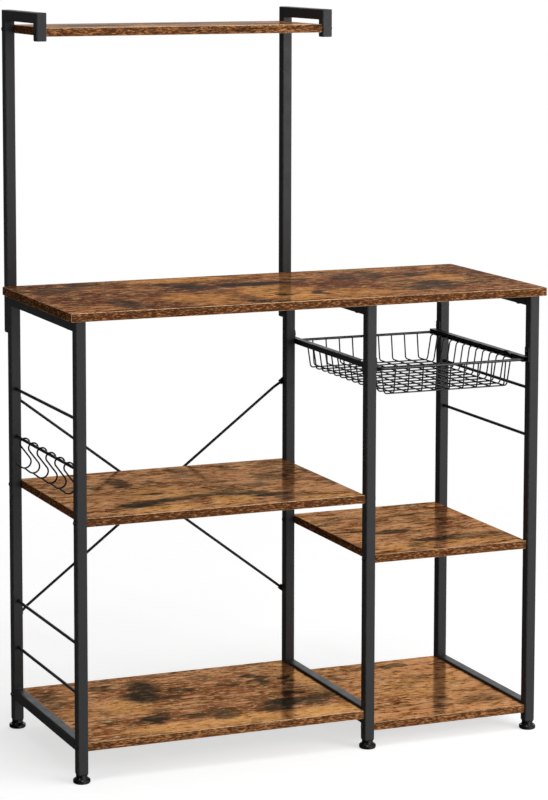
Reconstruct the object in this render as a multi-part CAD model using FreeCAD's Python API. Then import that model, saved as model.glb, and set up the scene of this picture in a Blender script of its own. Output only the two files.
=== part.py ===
import FreeCAD, Part
import math
import os

os.makedirs("parts", exist_ok=True)

# Kitchen rack: three square-tube side frames carry a counter and four shelves, two upper frames carry
# a narrow shelf, a wire basket runs on rails in the right bay and six S-hooks hang on the left side.
# Millimetres. X runs along the counter, Y from front to back, Z up from the floor.

# Counter and boards
counter_width = 900.0
counter_depth = 380.0
counter_height = 813.0
board_thickness = 15.0
board_edge_radius = 1.0

# Square steel tube of all the frames
tube = 19.0
tube_wall = 1.2
tube_corner_radius = 2.5
tube_least_radius = 0.1

# Side frames under the counter
leg_side_inset = 10.0
leg_front_inset = 8.0
counter_back_gap = 4.0
left_bay_width = 520.0
left_middle_shelf_height = 460.0
right_middle_shelf_height = 351.0
bottom_shelf_step = 24.0
shelf_edge_inset = 4.0

# Side rods and the hook rail
side_rod_diameter = 5.5
side_rod_pitch = 86.5
hook_rail_drop = 256.5
low_rod_height = 151.5

# Rear braces
brace_diameter = 5.0
brace_top_height = 614.0
brace_bottom_height = 203.0
brace_shelf_gap = 0.7
brace_cross_gap = 0.4
brace_tab_thickness = 2.2
brace_tab_width = 10.0
brace_tab_length = 17.0
brace_jog_length = 14.0
brace_bend_radius = 8.0

# Upper frames and upper shelf
rack_height = 1308.0
upright_overlap = 70.0
arm_reach = 199.0
arm_shelf_gap = 7.5
upper_shelf_inset = 3.0

# Plugs in the tube ends
cap_flange = 1.5
cap_length = 10.0
foot_plug_flange = 2.0
foot_plug_length = 17.5
plug_clearance = 0.1
plug_flange_inset = 0.4

# Levelling feet
foot_height = 15.0
foot_diameter = 30.0
foot_disc_height = 7.5
foot_disc_round = 1.5
foot_shoulder_height = 2.5
foot_collar_diameter = 20.0
foot_gap = 0.5
foot_floor_thickness = 5.5
stem_diameter = 8.0
stem_clearance = 0.1
stem_top_margin = 3.0

# Bolts and screws
bolt_diameter = 5.0
bolt_head_diameter = 9.0
bolt_head_height = 3.0
bolt_head_edge = 0.8
bolt_head_flat = 4.4
bolt_socket_width = 3.0
bolt_socket_depth = 1.6
bolt_bite = 30.0
bolt_over_plug = 4.0
through_hole_clearance = 0.4
thread_hole_clearance = 0.1
counter_screw_inset = 43.5
counter_screw_bite = 11.0
leg_screw_bite = 8.0

# Basket rails
rail_drop = 109.5
rail_height = 10.0
rail_wall = 1.2
rail_flange = 11.5
rail_front_inset = 5.0
rail_back_overhang = 4.0
rail_tab_width = 15.0
rail_tab_height = 15.5
rail_stop_distance = 62.0
rail_stop_gap = 0.6
rail_notch_length = 14.0

# Wire basket
rim_diameter = 5.0
rim_corner_radius = 12.0
rim_side_gap = 0.5
rim_seat_gap = 0.3
rim_front_inset = 8.0
basket_wire = 2.6
basket_height = 49.0
basket_side_flange = 18.0
basket_side_slope = 7.5
basket_end_slope = 6.5
basket_wire_bend = 6.0
basket_tail_drop = 1.0
long_wire_margin = 12.5
long_wire_pitch = 28.0
cross_wire_margin = 13.0
cross_wire_pitch = 26.0
weld_gap = 0.05

# S-hooks
hook_count = 6
hook_pitch = 48.5
hook_wire = 3.0
hook_top_radius = 8.8
hook_bottom_radius = 11.5
hook_loop_shift = 3.9
hook_loop_drop = 33.5
hook_top_tip_angle = 10.0
hook_bottom_tip_angle = 225.0
hook_tip_length = 11.5
hook_rail_gap = 0.3

# Places worked out from the sizes above
overall_depth = counter_depth + counter_back_gap + tube + bolt_head_height
counter_front = -overall_depth / 2
counter_back = counter_front + counter_depth
leg_front = counter_front + leg_front_inset
leg_back = counter_back + counter_back_gap
front_leg_back = leg_front + tube
rear_leg_front = leg_back - tube
upright_back = leg_back + tube
drop_leg_front = upright_back - arm_reach
front_leg_mid = leg_front + tube / 2
rear_leg_mid = leg_back - tube / 2
upright_mid = leg_back + tube / 2
drop_leg_mid = drop_leg_front + tube / 2

frame_x = {
    "left": -counter_width / 2 + leg_side_inset,
    "middle": -counter_width / 2 + leg_side_inset + tube + left_bay_width,
    "right": counter_width / 2 - leg_side_inset - tube,
}

leg_bottom = foot_height + foot_plug_flange
leg_top = counter_height - board_thickness
right_bottom_underside = leg_bottom + foot_plug_length + bolt_over_plug - board_thickness / 2
left_bottom_underside = right_bottom_underside + bottom_shelf_step
left_middle_underside = left_middle_shelf_height - board_thickness
right_middle_underside = right_middle_shelf_height - board_thickness
bottom_bar_z = {
    "left": left_bottom_underside,
    "middle": left_bottom_underside,
    "right": right_bottom_underside,
}

arm_underside = rack_height - tube
upper_shelf_underside = arm_underside - arm_shelf_gap - board_thickness
upper_bolt_z = upper_shelf_underside + board_thickness / 2
drop_leg_bottom = upper_bolt_z - bolt_over_plug - cap_length - cap_flange
upright_bottom = leg_top - upright_overlap
shelf_front = leg_front + shelf_edge_inset
shelf_back = leg_back - shelf_edge_inset

hook_rail_z = leg_top - hook_rail_drop
high_rod_z = hook_rail_z + side_rod_pitch

rail_top = leg_top - rail_drop
rail_bottom = rail_top - rail_height
rail_front = leg_front + rail_front_inset
rail_back = leg_back + rail_back_overhang
rim_z = rail_bottom + rail_wall + rim_seat_gap + rim_diameter / 2
rim_front = leg_front + rim_front_inset
rim_back = rail_back - rail_wall - rim_side_gap - rim_diameter / 2
bay_left = frame_x["middle"] + tube
bay_right = frame_x["right"]
tail_z = rim_z - basket_tail_drop
rim_left = bay_left + rail_wall + rim_side_gap + rim_diameter / 2
rim_right = bay_right - rail_wall - rim_side_gap - rim_diameter / 2

# The first brace's rod clears the backs of the shelves, and the second rod passes behind the first
first_brace_y = shelf_back + brace_shelf_gap + brace_diameter / 2
second_brace_y = first_brace_y + brace_diameter + brace_cross_gap
brace_tab_y = leg_back + brace_tab_thickness / 2


def vec(x, y, z):
    return FreeCAD.Vector(x, y, z)


X_AXIS = vec(1, 0, 0)
Y_AXIS = vec(0, 1, 0)
Z_AXIS = vec(0, 0, 1)


def save(name, solids):
    """Writes one sub-part, or a group of like solids, and prints its count and volume."""
    shape = solids if isinstance(solids, Part.Shape) else Part.makeCompound(solids)
    shape.exportStep("parts/%s.step" % name)
    state = "" if shape.isValid() else " not valid"
    print("%-24s %3d solid(s) %10.0f mm3%s" % (name, len(shape.Solids), shape.Volume, state))


def block(x0, x1, y0, y1, z0, z1):
    return Part.makeBox(x1 - x0, y1 - y0, z1 - z0, vec(x0, y0, z0))


def hole(seat, direction, diameter, length):
    return Part.makeCylinder(diameter / 2, length, seat, direction)


def place(shape, seat, direction):
    """Copies a shape modelled along +Z from the origin so that it starts at seat and runs along direction."""
    copy = shape.copy()
    copy.Placement = FreeCAD.Placement(seat, FreeCAD.Rotation(Z_AXIS, direction))
    return copy


def rounded_square(side, radius):
    """A square face about the origin in the XY plane, with rounded corners."""
    half = side / 2
    corner = block(-half, half, -half, half, 0, 1)
    upright_edges = [e for e in corner.Edges if abs(e.tangentAt(e.FirstParameter).z) > 0.5]
    rounded = corner.makeFillet(radius, upright_edges)
    return next(f for f in rounded.Faces if f.CenterOfMass.z < 1e-6 and f.BoundBox.ZLength < 1e-6)


def square_tube(length):
    """A length of the frame tube along +Z, centred on the origin."""
    inner_side = tube - 2 * tube_wall
    inner_radius = max(tube_corner_radius - tube_wall, tube_least_radius)
    outside = rounded_square(tube, tube_corner_radius).extrude(vec(0, 0, length))
    inside = rounded_square(inner_side, inner_radius).extrude(vec(0, 0, length))
    return outside.cut(inside)


def tube_between(start, end):
    return place(square_tube((end - start).Length), start, end - start)


def rod_between(start, end, diameter):
    return Part.makeCylinder(diameter / 2, (end - start).Length, start, end - start)


def rounded_path(points, bend, closed=False):
    """Straight runs through the points, joined by tangent arcs; a closed path starts mid-run."""
    edges = []
    here = points[0]
    for before, corner, after in zip(points, points[1:], points[2:]):
        into = (corner - before).normalize()
        out = (after - corner).normalize()
        half_turn = into.getAngle(out) / 2
        trim = bend * math.tan(half_turn)
        arc_start = corner - into * trim
        arc_end = corner + out * trim
        inward = (out - into).normalize()
        arc_mid = corner + inward * (bend / math.cos(half_turn) - bend)
        edges.append(Part.LineSegment(here, arc_start).toShape())
        edges.append(Part.Arc(arc_start, arc_mid, arc_end).toShape())
        here = arc_end
    edges.append(Part.LineSegment(here, points[0] if closed else points[-1]).toShape())
    return Part.Wire(edges)


def bent_wire(path, diameter):
    """Round wire swept along a path of lines and arcs."""
    first = path.OrderedEdges[0]
    start = first.valueAt(first.FirstParameter)
    section = Part.Wire(Part.makeCircle(diameter / 2, start, first.tangentAt(first.FirstParameter)))
    return path.makePipeShell([section], True, False)


def lathe(profile):
    """Turns a closed outline of (radius, height) points about Z."""
    corners = [vec(r, 0, z) for r, z in profile]
    return Part.Face(Part.makePolygon(corners + corners[:1])).revolve(vec(0, 0, 0), Z_AXIS, 360)


def button_bolt(shank_length):
    """A round-headed bolt with its seat at the origin, its shank along +Z and a hexagon socket."""
    radius = bolt_head_diameter / 2
    crown = bolt_head_flat / 2
    rim = vec(radius, 0, -bolt_head_edge)
    top = vec(crown, 0, -bolt_head_height)
    rise = bolt_head_height - bolt_head_edge
    dome_drop = (radius ** 2 - crown ** 2 - rise ** 2) / (2 * rise)
    dome_centre = vec(0, 0, dome_drop - bolt_head_edge)
    dome_radius = (rim - dome_centre).Length
    shoulder = dome_centre + ((rim + top) / 2 - dome_centre).normalize() * dome_radius
    outline = Part.Wire([
        Part.LineSegment(vec(0, 0, 0), vec(radius, 0, 0)).toShape(),
        Part.LineSegment(vec(radius, 0, 0), rim).toShape(),
        Part.Arc(rim, shoulder, top).toShape(),
        Part.LineSegment(top, vec(0, 0, -bolt_head_height)).toShape(),
        Part.LineSegment(vec(0, 0, -bolt_head_height), vec(0, 0, 0)).toShape(),
    ])
    head = Part.Face(outline).revolve(vec(0, 0, 0), Z_AXIS, 360)
    flat = bolt_socket_width / 2 / math.cos(math.pi / 6)
    hexagon = [vec(flat * math.cos(k * math.pi / 3), flat * math.sin(k * math.pi / 3), -bolt_head_height)
               for k in range(7)]
    socket = Part.Face(Part.makePolygon(hexagon)).extrude(vec(0, 0, bolt_socket_depth))
    shank = Part.makeCylinder(bolt_diameter / 2, shank_length)
    return head.cut(socket).fuse(shank).removeSplitter()


def board(x0, x1, y0, y1, underside, holes):
    """A board with softened edges and the holes that its bolts or screws bite into."""
    slab = block(x0, x1, y0, y1, underside, underside + board_thickness)
    return slab.makeFillet(board_edge_radius, slab.Edges).cut(holes)


# Fixings: where each bolt seats and which way it points, with the holes that it needs

through_diameter = bolt_diameter + through_hole_clearance
thread_diameter = bolt_diameter + thread_hole_clearance
shelf_bolt_length = tube + bolt_bite

shelves = [
    ("left_bottom_shelf", "left", "middle", left_bottom_underside),
    ("right_bottom_shelf", "middle", "right", right_bottom_underside),
    ("left_middle_shelf", "left", "middle", left_middle_underside),
    ("right_middle_shelf", "middle", "right", right_middle_underside),
]


def end_bolts(left_frame, right_frame, rows, height):
    """Seats of the bolts through two frames into both ends of a board, at the given rows along Y."""
    seats = []
    for y in rows:
        seats.append((vec(frame_x[left_frame], y, height), X_AXIS))
        seats.append((vec(frame_x[right_frame] + tube, y, height), -X_AXIS))
    return seats


shelf_seats = []
for _, left_frame, right_frame, underside in shelves:
    mid_height = underside + board_thickness / 2
    shelf_seats += end_bolts(left_frame, right_frame, (front_leg_mid, rear_leg_mid), mid_height)
upper_seats = end_bolts("left", "middle", (drop_leg_mid, upright_mid), upper_bolt_z)
board_bolt_seats = shelf_seats + upper_seats
tube_holes = [hole(seat, way, through_diameter, tube) for seat, way in board_bolt_seats]
board_holes = [hole(seat, way, thread_diameter, shelf_bolt_length) for seat, way in board_bolt_seats]

upright_bolt_length = tube + leg_screw_bite
upright_seats = [
    (vec(frame_x[side] + tube / 2, upright_back, z), -Y_AXIS)
    for side in ("left", "middle")
    for z in (upright_bottom + cap_flange + cap_length + bolt_over_plug, leg_top - tube / 2)
]
tube_holes += [hole(seat, way, through_diameter, tube) for seat, way in upright_seats]
tube_holes += [hole(seat + way * tube, way, thread_diameter, leg_screw_bite) for seat, way in upright_seats]

counter_screw_length = tube + counter_screw_bite
counter_seats = [
    (vec(x + tube / 2, y, leg_top - tube), Z_AXIS)
    for x in frame_x.values()
    for y in (front_leg_back + counter_screw_inset, rear_leg_front - counter_screw_inset)
]
tube_holes += [hole(seat, way, through_diameter, tube) for seat, way in counter_seats]
counter_holes = [hole(seat, way, thread_diameter, counter_screw_length) for seat, way in counter_seats]

rail_screw_z = rail_top + rail_tab_height / 2
rail_tab_rows = (front_leg_mid, rear_leg_mid)
rail_seats = []
for y in rail_tab_rows:
    rail_seats.append((vec(bay_left + rail_wall, y, rail_screw_z), -X_AXIS))
    rail_seats.append((vec(bay_right - rail_wall, y, rail_screw_z), X_AXIS))

brace_left_x = frame_x["left"] + tube / 2
brace_right_x = frame_x["middle"] + tube / 2
brace_seats = [
    (vec(x, leg_back + brace_tab_thickness, z), -Y_AXIS)
    for x in (brace_left_x, brace_right_x)
    for z in (brace_bottom_height, brace_top_height)
]
plate_seats = rail_seats + brace_seats
plate_screw_length = max(rail_wall, brace_tab_thickness) + leg_screw_bite
plate_holes = [hole(seat, way, through_diameter, plate_screw_length) for seat, way in plate_seats]
tube_holes += [hole(seat, way, thread_diameter, plate_screw_length) for seat, way in plate_seats]

save("shelf_bolts", [place(button_bolt(shelf_bolt_length), seat, way) for seat, way in board_bolt_seats])
save("upright_bolts", [place(button_bolt(upright_bolt_length), seat, way) for seat, way in upright_seats])
save("counter_screws", [place(button_bolt(counter_screw_length), seat, way) for seat, way in counter_seats])
save("plate_screws", [place(button_bolt(plate_screw_length), seat, way) for seat, way in plate_seats])

# Boards

counter = board(-counter_width / 2, counter_width / 2, counter_front, counter_back, leg_top, counter_holes)
save("counter_board", counter)
for name, left_frame, right_frame, underside in shelves:
    ends = frame_x[left_frame] + tube, frame_x[right_frame]
    save(name, board(*ends, shelf_front, shelf_back, underside, board_holes))
upper_ends = frame_x["left"] + tube, frame_x["middle"]
upper_depth = drop_leg_front + upper_shelf_inset, upright_back - upper_shelf_inset
save("upper_shelf", board(*upper_ends, *upper_depth, upper_shelf_underside, board_holes))

# Side frames: two legs, a crossbar under the counter and one beside the bottom shelf

for side, x in frame_x.items():
    mid = x + tube / 2
    for row, y in (("front", front_leg_mid), ("rear", rear_leg_mid)):
        leg = tube_between(vec(mid, y, leg_bottom), vec(mid, y, leg_top))
        save("%s_%s_leg" % (side, row), leg.cut(tube_holes))
    bars = (("top_bar", leg_top - tube / 2), ("bottom_bar", bottom_bar_z[side] + tube / 2))
    for name, z in bars:
        bar = tube_between(vec(mid, front_leg_back, z), vec(mid, rear_leg_front, z))
        save("%s_%s" % (side, name), bar.cut(tube_holes))


def side_rod(side, z):
    """A round rod between the front and rear leg of one side frame."""
    mid = frame_x[side] + tube / 2
    return rod_between(vec(mid, front_leg_back, z), vec(mid, rear_leg_front, z), side_rod_diameter)


save("left_upper_rod", side_rod("left", high_rod_z))
save("hook_rail", side_rod("left", hook_rail_z))
save("left_lower_rods", [side_rod("left", low_rod_height + k * side_rod_pitch) for k in range(2)])
save("right_side_rods", [side_rod("right", z) for z in (hook_rail_z, high_rod_z)])

# Upper frames: upright, arm and drop leg meet in mitred corners


def mitre(x, *corners):
    """A three-cornered prism across one tube, to cut a mitred end; corners are (y, z)."""
    outline = [vec(x - tube, y, z) for y, z in corners + corners[:1]]
    return Part.Face(Part.makePolygon(outline)).extrude(vec(2 * tube, 0, 0))


back_outer = (upright_back, rack_height)
back_inner = (leg_back, arm_underside)
front_outer = (drop_leg_front, rack_height)
front_inner = (drop_leg_front + tube, arm_underside)
for side in ("left", "middle"):
    mid = frame_x[side] + tube / 2
    arm_z = rack_height - tube / 2
    upright_foot = vec(mid, upright_mid, upright_bottom + cap_flange)
    drop_foot = vec(mid, drop_leg_mid, drop_leg_bottom + cap_flange)
    upright = tube_between(upright_foot, vec(mid, upright_mid, rack_height))
    arm = tube_between(vec(mid, drop_leg_front, arm_z), vec(mid, upright_back, arm_z))
    drop = tube_between(drop_foot, vec(mid, drop_leg_mid, rack_height))
    upright = upright.cut(mitre(mid, back_inner, (leg_back, rack_height), back_outer))
    arm = arm.cut(mitre(mid, back_inner, (upright_back, arm_underside), back_outer))
    arm = arm.cut(mitre(mid, front_inner, (drop_leg_front, arm_underside), front_outer))
    drop = drop.cut(mitre(mid, front_inner, (drop_leg_front + tube, rack_height), front_outer))
    frame_name = "upper_left" if side == "left" else "upper_right"
    save(frame_name + "_upright", upright.cut(tube_holes))
    save(frame_name + "_arm", arm)
    save(frame_name + "_drop_leg", drop.cut(tube_holes))

# Plugs in the open tube ends


def tube_plug(flange, length, end):
    """A plastic plug for the lower end of a tube, with its flange just below that end."""
    flange_side = tube - 2 * plug_flange_inset
    body_side = tube - 2 * tube_wall - 2 * plug_clearance
    body_radius = max(tube_corner_radius - tube_wall, tube_least_radius)
    head = rounded_square(flange_side, tube_corner_radius).extrude(vec(0, 0, flange))
    body = rounded_square(body_side, body_radius).extrude(vec(0, 0, flange + length))
    return place(head.fuse(body).removeSplitter(), end, Z_AXIS)


cap_ends = []
for side in ("left", "middle"):
    mid = frame_x[side] + tube / 2
    cap_ends.append(vec(mid, upright_mid, upright_bottom))
    cap_ends.append(vec(mid, drop_leg_mid, drop_leg_bottom))
save("tube_caps", [tube_plug(cap_flange, cap_length, end) for end in cap_ends])

# Levelling feet: a plug with a threaded bore in each leg, a stem and a round pad

leg_places = {
    "%s_%s" % (side, row): (x + tube / 2, y)
    for side, x in frame_x.items()
    for row, y in (("front", front_leg_mid), ("rear", rear_leg_mid))
}
bore_diameter = stem_diameter + 2 * stem_clearance
plug_top = leg_bottom + foot_plug_length
foot_plugs = []
for x, y in leg_places.values():
    plug = tube_plug(foot_plug_flange, foot_plug_length, vec(x, y, foot_height))
    foot_plugs.append(plug.cut(hole(vec(x, y, 0), Z_AXIS, bore_diameter, plug_top + tube)))
save("foot_plugs", foot_plugs)

pad_top = foot_height - foot_gap
shoulder_top = foot_disc_height + foot_shoulder_height
disc_radius = foot_diameter / 2
collar_radius = foot_collar_diameter / 2
pad = lathe([
    (0, 0),
    (disc_radius - foot_disc_round, 0),
    (disc_radius, foot_disc_round),
    (disc_radius, foot_disc_height - foot_disc_round),
    (disc_radius - foot_disc_round, foot_disc_height),
    (collar_radius + foot_disc_round, foot_disc_height),
    (collar_radius, shoulder_top),
    (collar_radius, pad_top),
    (0, pad_top),
])
pad = pad.cut(hole(vec(0, 0, foot_floor_thickness), Z_AXIS, bore_diameter, foot_height))
stem_length = plug_top - stem_top_margin - foot_floor_thickness
stem = Part.makeCylinder(stem_diameter / 2, stem_length)
for name, (x, y) in leg_places.items():
    save(name + "_foot_pad", place(pad, vec(x, y, 0), Z_AXIS))
    save(name + "_foot_stem", place(stem, vec(x, y, foot_floor_thickness), Z_AXIS))

# Rear braces: round rods with flattened ends screwed to the backs of the rear legs


def brace(start, end, rod_y):
    """A rod from one screw hole to another; start and end are (x, z), and rod_y is where its run lies."""
    first = vec(start[0], brace_tab_y, start[1])
    last = vec(end[0], brace_tab_y, end[1])
    way = (last - first).normalize()
    shift = vec(0, rod_y - brace_tab_y, 0)
    bend_at = brace_tab_length
    settle_at = brace_tab_length + brace_jog_length
    points = [
        first + way * (bend_at - brace_tab_width / 2),
        first + way * bend_at,
        first + way * settle_at + shift,
        last - way * settle_at + shift,
        last - way * bend_at,
        last - way * (bend_at - brace_tab_width / 2),
    ]
    rod = bent_wire(rounded_path(points, brace_bend_radius), brace_diameter)
    tabs = [flat_end(first, way), flat_end(last, -way)]
    return rod.fuse(tabs).cut(leg_backs).cut(plate_holes).removeSplitter()


def flat_end(centre, way):
    """The flattened end of a brace: a strip round its screw hole, running towards the rod."""
    across = way.cross(Y_AXIS) * (brace_tab_width / 2)
    back = Y_AXIS * (brace_tab_thickness / 2)
    near = centre - back
    far = centre + way * brace_tab_length - back
    strip = Part.makePolygon([near + across, far + across, far - across, near - across, near + across])
    plate = Part.Face(strip).extrude(Y_AXIS * brace_tab_thickness)
    round_end = Part.makeCylinder(brace_tab_width / 2, brace_tab_thickness, near, Y_AXIS)
    return plate.fuse(round_end)


leg_backs = [
    block(frame_x[side], frame_x[side] + tube, rear_leg_front, leg_back, leg_bottom, leg_top)
    for side in ("left", "middle")
]
high_left = (brace_left_x, brace_top_height)
low_left = (brace_left_x, brace_bottom_height)
high_right = (brace_right_x, brace_top_height)
low_right = (brace_right_x, brace_bottom_height)
save("falling_brace", brace(high_left, low_right, first_brace_y))
save("rising_brace", brace(low_left, high_right, second_brace_y))

# Basket rails: a channel with a top flange, a lip below, screw tabs, a closed rear end and a front stop


def left_rail():
    """The rail on the middle frame; its back lies on the legs and its mouth faces +X."""
    back = bay_left
    face = back + rail_wall
    mouth = back + rail_flange
    ceiling = rail_top - rail_wall
    web = block(back, face, rail_front, rail_back, rail_bottom, rail_top)
    top = block(back, mouth, rail_front, rail_back, ceiling, rail_top)
    lip = block(back, mouth, rail_front, rail_back, rail_bottom, rail_bottom + rail_wall)
    end = block(back, mouth, rail_back - rail_wall, rail_back, rail_bottom, rail_top)
    stop_back = rail_front + rail_stop_distance
    stop_left = rim_left + rim_diameter / 2 + rim_side_gap
    stop_bottom = tail_z + basket_wire / 2 + rail_stop_gap
    stop = block(stop_left, mouth, stop_back - rail_wall, stop_back, stop_bottom, rail_top)
    notch = block(face, mouth, stop_back, stop_back + rail_notch_length, ceiling, rail_top)
    tabs = []
    for y in rail_tab_rows:
        tab_ends = y - rail_tab_width / 2, y + rail_tab_width / 2
        tabs.append(block(back, face, *tab_ends, rail_bottom, rail_top + rail_tab_height))
    rail = web.fuse([top, lip, end, stop] + tabs).cut(notch)
    return rail.cut(plate_holes).removeSplitter()


bay_centre = (bay_left + bay_right) / 2
rail = left_rail()
save("left_basket_rail", rail)
save("right_basket_rail", rail.mirror(vec(bay_centre, 0, 0), X_AXIS))

# Wire basket: the rim runs in the rails, and bent wires welded inside it make the walls and floor

rim_corners = [
    vec(rim_right, rim_front, rim_z),
    vec(rim_right, rim_back, rim_z),
    vec(rim_left, rim_back, rim_z),
    vec(rim_left, rim_front, rim_z),
]
rim_start = vec(bay_centre, rim_front, rim_z)
rim_path = rounded_path([rim_start] + rim_corners + [rim_start], rim_corner_radius, closed=True)
save("basket_rim", bent_wire(rim_path, rim_diameter))

wire_inset = rim_diameter / 2 + basket_wire / 2 + weld_gap
tail_left = rim_left + rim_diameter / 2 + weld_gap
tail_right = rim_right - rim_diameter / 2 - weld_gap
wall_left = rim_left + basket_side_flange
wall_right = rim_right - basket_side_flange
wall_front = rim_front + wire_inset
wall_back = rim_back - wire_inset
cross_floor_z = rim_z - basket_height
long_floor_z = cross_floor_z + basket_wire + weld_gap
floor_left = wall_left + basket_side_slope
floor_right = wall_right - basket_side_slope
floor_front = wall_front + basket_end_slope
floor_back = wall_back - basket_end_slope


def spread(low, high, pitch):
    """Even places from low to high, as near to the pitch as a whole count allows."""
    gaps = max(1, round((high - low) / pitch))
    return [low + (high - low) * k / gaps for k in range(gaps + 1)]


long_wires = []
for x in spread(floor_left + long_wire_margin, floor_right - long_wire_margin, long_wire_pitch):
    points = [
        vec(x, wall_front, rim_z),
        vec(x, floor_front, long_floor_z),
        vec(x, floor_back, long_floor_z),
        vec(x, wall_back, rim_z),
    ]
    long_wires.append(bent_wire(rounded_path(points, basket_wire_bend), basket_wire))
save("basket_long_wires", long_wires)

cross_wires = []
for y in spread(floor_front + cross_wire_margin, floor_back - cross_wire_margin, cross_wire_pitch):
    points = [
        vec(tail_left, y, tail_z),
        vec(wall_left, y, tail_z),
        vec(floor_left, y, cross_floor_z),
        vec(floor_right, y, cross_floor_z),
        vec(wall_right, y, tail_z),
        vec(tail_right, y, tail_z),
    ]
    cross_wires.append(bent_wire(rounded_path(points, basket_wire_bend), basket_wire))
save("basket_cross_wires", cross_wires)

# S-hooks: each hangs over the hook rail with its centre of mass below the rail


def on_loop(centre, radius, degrees):
    angle = math.radians(degrees)
    return centre + vec(radius * math.cos(angle), 0, radius * math.sin(angle))


def loop_arc(centre, radius, start, end):
    """An arc in the XZ plane from one angle to another, in degrees."""
    stops = (start, (start + end) / 2, end)
    return Part.Arc(*[on_loop(centre, radius, angle) for angle in stops]).toShape()


def s_hook():
    """One hook about the centre of its upper loop, turned so that it hangs plumb."""
    upper = vec(0, 0, 0)
    lower = vec(-hook_loop_shift, 0, -hook_loop_drop)
    reach = lower.Length
    heading = math.degrees(math.atan2(lower.z, lower.x)) + 360
    opening = math.degrees(math.acos((hook_top_radius + hook_bottom_radius) / reach))
    leave = heading - opening
    arrive = leave - 180
    tip_angle = hook_bottom_tip_angle - 360
    tip_start = on_loop(lower, hook_bottom_radius, tip_angle)
    tip_way = on_loop(vec(0, 0, 0), 1, tip_angle - 90)
    path = Part.Wire([
        loop_arc(upper, hook_top_radius, hook_top_tip_angle, leave),
        Part.LineSegment(
            on_loop(upper, hook_top_radius, leave), on_loop(lower, hook_bottom_radius, arrive)
        ).toShape(),
        loop_arc(lower, hook_bottom_radius, arrive, tip_angle),
        Part.LineSegment(tip_start, tip_start + tip_way * hook_tip_length).toShape(),
    ])
    hook = bent_wire(path, hook_wire)
    mass_centre = hook.Solids[0].CenterOfMass
    lean = math.degrees(math.atan2(mass_centre.x, -mass_centre.z))
    hook.rotate(upper, Y_AXIS, lean)
    return hook


hook_x = frame_x["left"] + tube / 2
hook_loop_inner = hook_top_radius - hook_wire / 2
hook_z = hook_rail_z + side_rod_diameter / 2 + hook_rail_gap - hook_loop_inner
rail_mid = (front_leg_back + rear_leg_front) / 2
hook = s_hook()
for k in range(hook_count):
    y = rail_mid + (k - (hook_count - 1) / 2) * hook_pitch
    copy = hook.copy()
    copy.translate(vec(hook_x, y, hook_z))
    save("s_hook_%d" % (k + 1), copy)

# The inside of the rim's rear corners meets the rails' front stops
corner_inside = rim_corner_radius - rim_diameter / 2
corner_depth = math.sqrt(corner_inside ** 2 - (corner_inside - rim_side_gap) ** 2)
corner_contact = rim_back - rim_corner_radius + corner_depth - rim_side_gap
print("basket travel to its front stop %.1f" % (corner_contact - rail_front - rail_stop_distance))
print("counter front %.1f, upright back %.1f, rim z %.2f" % (counter_front, upright_back, rim_z))
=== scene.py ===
# %% [markdown]
# # Kitchen rack: dressing the imported model
#
# The imported model brings every tube, board, wire, bolt and foot of the rack as its own mesh, in metres
# and in place. This lesson gives each of them the finish of the real thing, adds the small details that
# a workshop leaves behind, such as welds and threads, and sets the rack in a plain studio. The last cell
# prints the size of the dressed rack.

# %% Load the imported rack
import math

import bmesh
import bpy
from mathutils import Matrix, Vector


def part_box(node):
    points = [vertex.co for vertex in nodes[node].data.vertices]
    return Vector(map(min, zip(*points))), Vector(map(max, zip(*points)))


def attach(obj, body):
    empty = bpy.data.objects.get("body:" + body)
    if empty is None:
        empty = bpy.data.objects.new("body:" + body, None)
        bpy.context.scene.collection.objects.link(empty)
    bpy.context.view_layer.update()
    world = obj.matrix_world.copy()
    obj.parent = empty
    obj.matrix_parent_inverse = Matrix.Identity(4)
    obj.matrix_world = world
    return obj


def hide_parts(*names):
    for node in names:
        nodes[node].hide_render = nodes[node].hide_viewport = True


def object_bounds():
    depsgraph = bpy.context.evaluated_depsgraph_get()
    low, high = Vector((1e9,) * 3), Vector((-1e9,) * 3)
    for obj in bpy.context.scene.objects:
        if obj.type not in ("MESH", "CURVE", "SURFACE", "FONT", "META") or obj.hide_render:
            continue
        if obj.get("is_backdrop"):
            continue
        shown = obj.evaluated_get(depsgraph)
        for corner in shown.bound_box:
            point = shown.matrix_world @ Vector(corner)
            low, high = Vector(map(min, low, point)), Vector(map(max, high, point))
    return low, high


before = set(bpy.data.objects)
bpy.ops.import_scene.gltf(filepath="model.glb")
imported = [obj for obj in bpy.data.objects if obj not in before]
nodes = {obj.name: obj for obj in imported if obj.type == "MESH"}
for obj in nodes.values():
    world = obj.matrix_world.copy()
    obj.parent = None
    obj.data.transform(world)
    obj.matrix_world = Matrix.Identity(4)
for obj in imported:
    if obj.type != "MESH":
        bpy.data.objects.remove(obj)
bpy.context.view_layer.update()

# %% [markdown]
# ## A bench for finishes
#
# Every finish below is a node tree. Nodes can be clicked together by hand or added in code; code keeps
# the recipe readable and gives the same result on every run. These helpers start a material, add a node
# to it, link its inputs or type numbers into them, and hand back the socket that the next node needs.


# %% Helpers that build node trees
def linear(red, green, blue):
    """A colour given on an sRGB screen, from 0 to 255, as the linear colour that a socket takes."""
    def curve(value):
        value /= 255
        return value / 12.92 if value <= 0.04045 else ((value + 0.055) / 1.055) ** 2.4
    return (curve(red), curve(green), curve(blue), 1.0)


def start_finish(name):
    """A material that holds nothing but its output and one Principled shader."""
    material = bpy.data.materials.new(name)
    material.use_nodes = True
    tree = material.node_tree
    tree.nodes.clear()
    shader = tree.nodes.new("ShaderNodeBsdfPrincipled")
    output = tree.nodes.new("ShaderNodeOutputMaterial")
    tree.links.new(shader.outputs["BSDF"], output.inputs["Surface"])
    return material, tree, shader


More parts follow.
